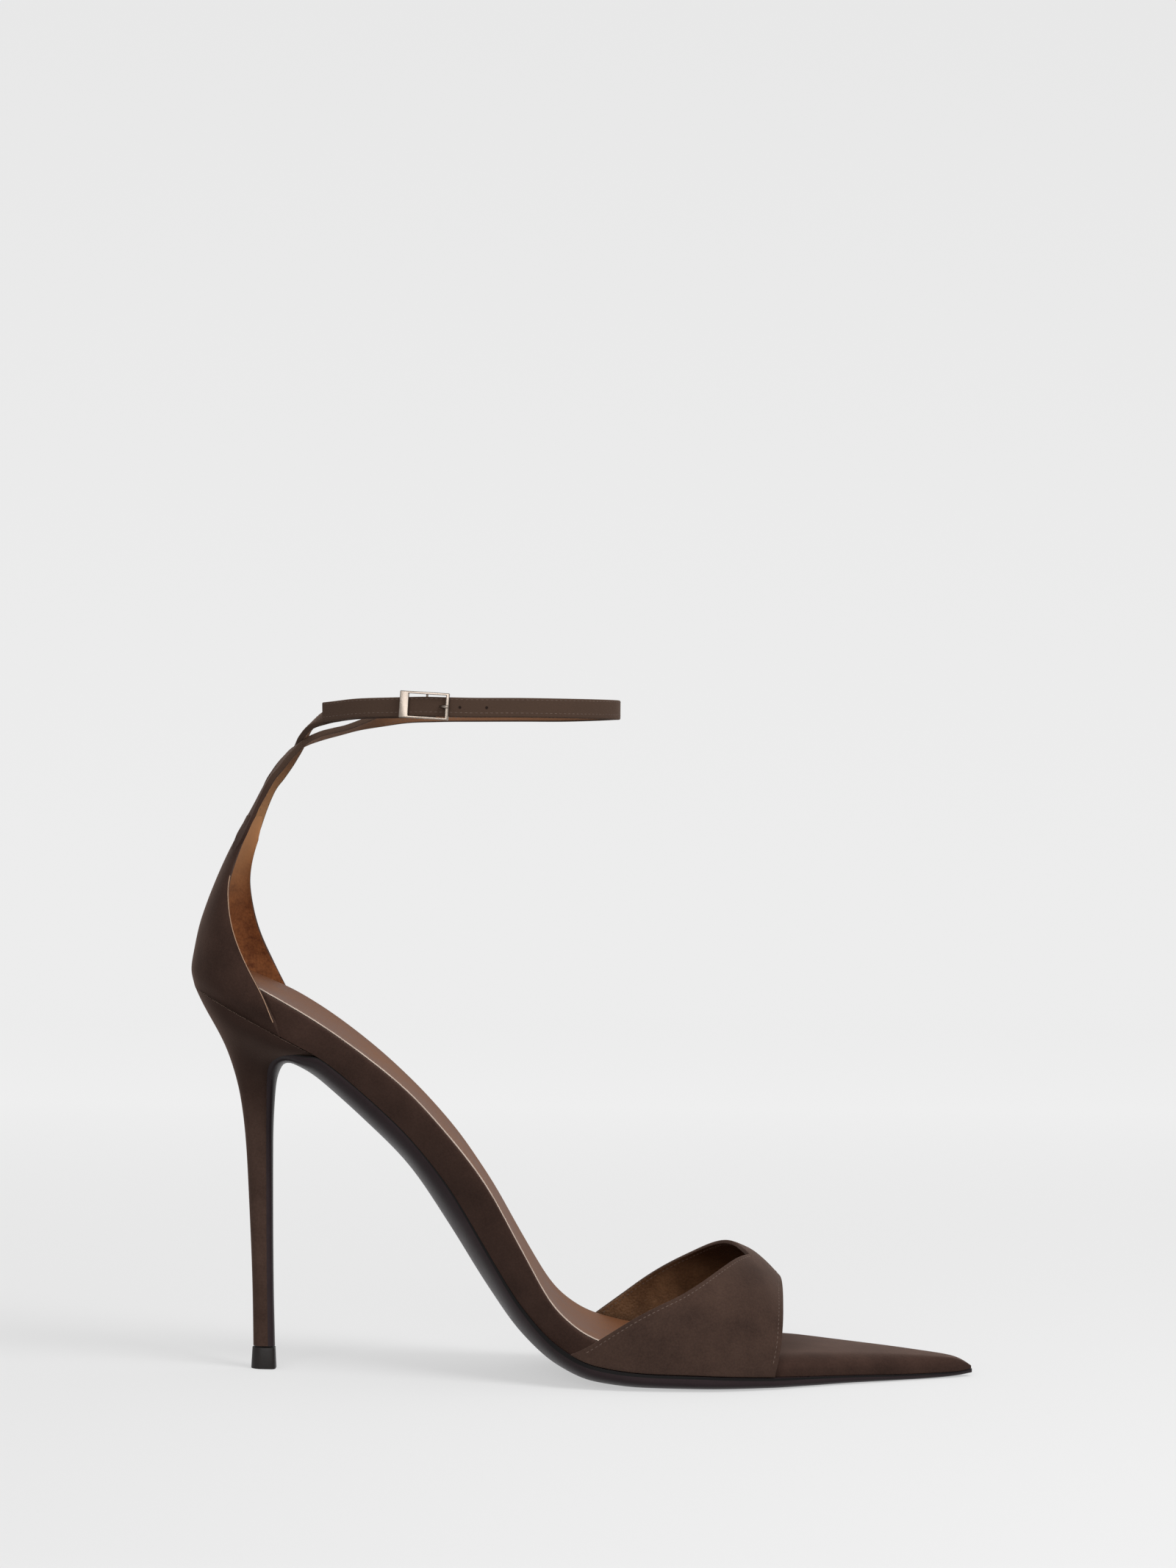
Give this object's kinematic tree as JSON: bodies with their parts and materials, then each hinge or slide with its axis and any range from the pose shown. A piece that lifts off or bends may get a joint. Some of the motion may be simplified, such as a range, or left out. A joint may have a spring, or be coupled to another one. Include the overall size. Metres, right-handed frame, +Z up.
{
  "type": "strap sandal",
  "caption": "Right-foot strap sandal on a stiletto heel: pointed footbed, V-cut band over the toes, narrow heel counter and a buckled ankle strap that crosses behind the heel.",
  "frame": {"origin": "middle of the shoe's outline on the floor it stands on", "axes": "+X from heel to toe, +Y towards the inner side of the foot, +Z up"},
  "size_m": [0.219, 0.0776, 0.1888],
  "materials": {
    "rim_suede": "dark brown suede",
    "sock_leather": "smooth tan leather",
    "sole_leather": "black semi-gloss leather",
    "heel_suede": "dark brown suede",
    "tip_rubber": "black hard rubber",
    "vamp_suede": "dark brown suede, brown lining inside",
    "counter_suede": "dark brown suede, tan lining inside",
    "buckle_metal": "pale polished metal",
    "prong_metal": "pale polished metal"
  },
  "bodies": {
    "root": {"wrapped_footbed": "rim_suede", "insole_sock": "sock_leather", "outsole": "sole_leather", "heel": "heel_suede", "heel_tip": "tip_rubber", "vamp_band": "vamp_suede", "counter_and_ankle_strap": "counter_suede", "buckle_frame": "buckle_metal", "buckle_prong": "prong_metal"}
  },
  "joints": []
}
